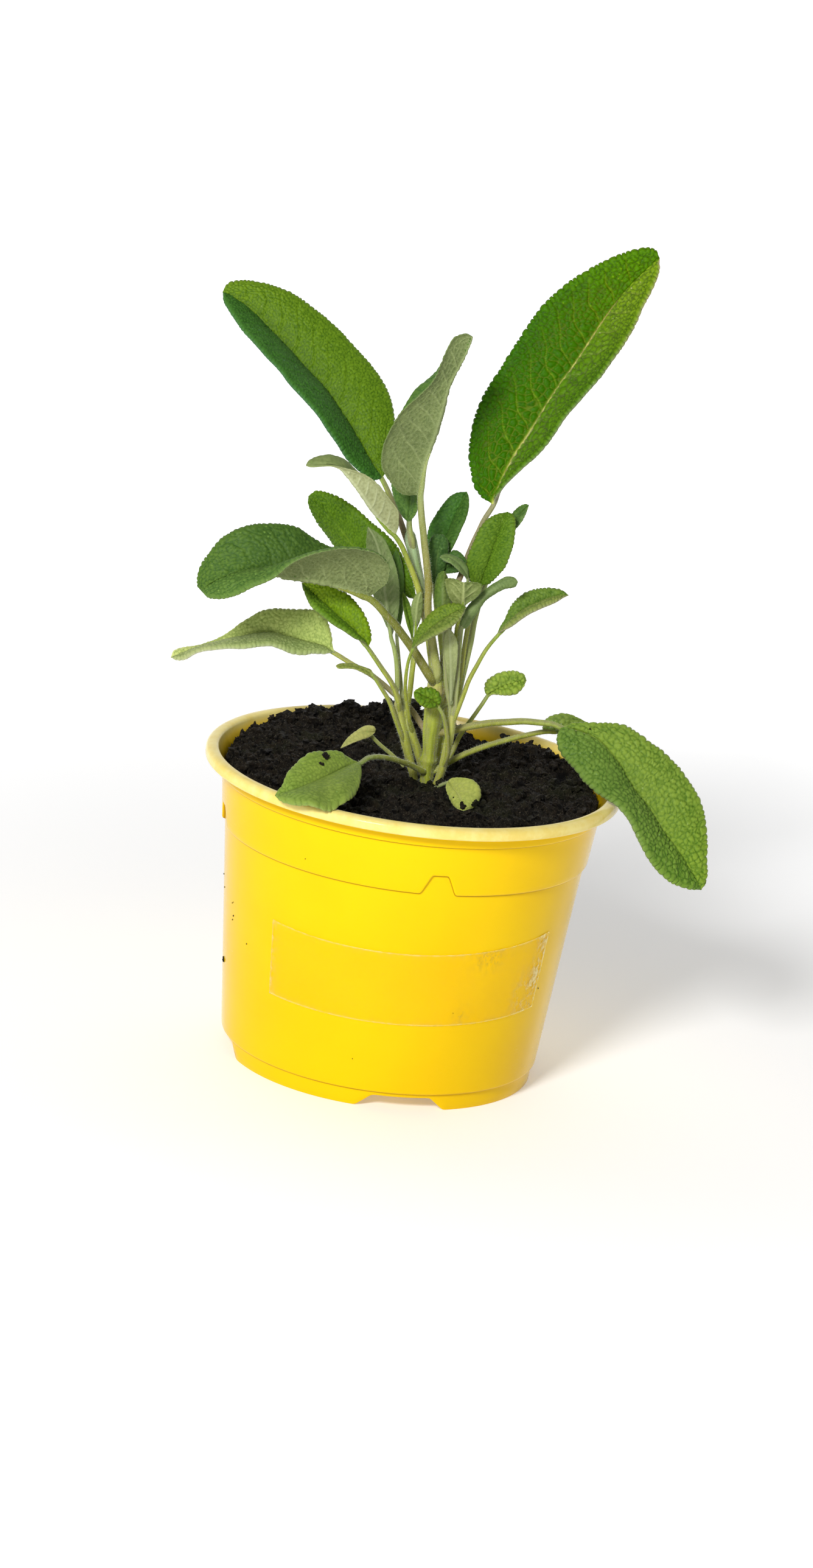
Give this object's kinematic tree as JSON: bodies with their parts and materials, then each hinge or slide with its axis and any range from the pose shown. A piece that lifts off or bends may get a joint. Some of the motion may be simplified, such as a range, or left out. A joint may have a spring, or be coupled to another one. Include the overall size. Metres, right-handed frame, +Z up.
{
  "type": "potted sage",
  "caption": "Young common sage plant in a round moulded plastic nursery pot with a rolled rim, notched collar, low feet, drain holes and a bare clear label film.",
  "frame": {"origin": "bottom centre of the whole object's box, on the plane that the pot's feet stand on", "axes": "+Z up, -Y towards the viewer of the picture, +X to that viewer's right; the pot's own axis is vertical at x = -5.7 mm, y = 0"},
  "size_m": [0.1406, 0.105, 0.2098],
  "materials": {
    "pot_plastic": "smooth injection-moulded polypropylene, semi-gloss, lightly scuffed",
    "label_film": "bare clear self-adhesive film, glossy, edges worn whitish",
    "soil": "dark crumbly peat and bark compost, matt",
    "stem": "soft green stem with fine pale down, satin",
    "leaf": "pebbled, finely downy leaf, matt to satin",
    "leaf_young": "pale downy young leaf, matt"
  },
  "bodies": {
    "root": {"pot": "pot_plastic", "label_film": "label_film", "soil": "soil", "stem_main": "stem", "stem_left": "stem", "stem_left_inner": "stem", "stem_right": "stem", "stem_back": "stem", "leaf_a": "leaf", "leaf_b": "leaf", "leaf_c": "leaf", "leaf_c2": "leaf", "leaf_d": "leaf", "leaf_e": "leaf", "leaf_f": "leaf", "leaf_g": "leaf", "leaf_h": "leaf", "leaf_i": "leaf", "leaf_j": "leaf", "leaf_k": "leaf", "leaf_k2": "leaf", "leaf_k3": "leaf", "leaf_l": "leaf", "leaf_m": "leaf", "leaf_m2": "leaf", "leaf_m3": "leaf_young", "leaf_n": "leaf", "leaf_o": "leaf", "leaf_p": "leaf", "leaf_q": "leaf", "leaf_r": "leaf", "leaf_s": "leaf", "leaf_s2": "leaf", "leaf_s3": "leaf_young", "leaf_s4": "leaf_young", "leaf_t": "leaf", "leaf_u": "leaf_young", "leaf_v": "leaf_young", "leaf_w": "leaf", "leaf_x": "leaf", "leaf_y": "leaf_young"}
  },
  "joints": []
}
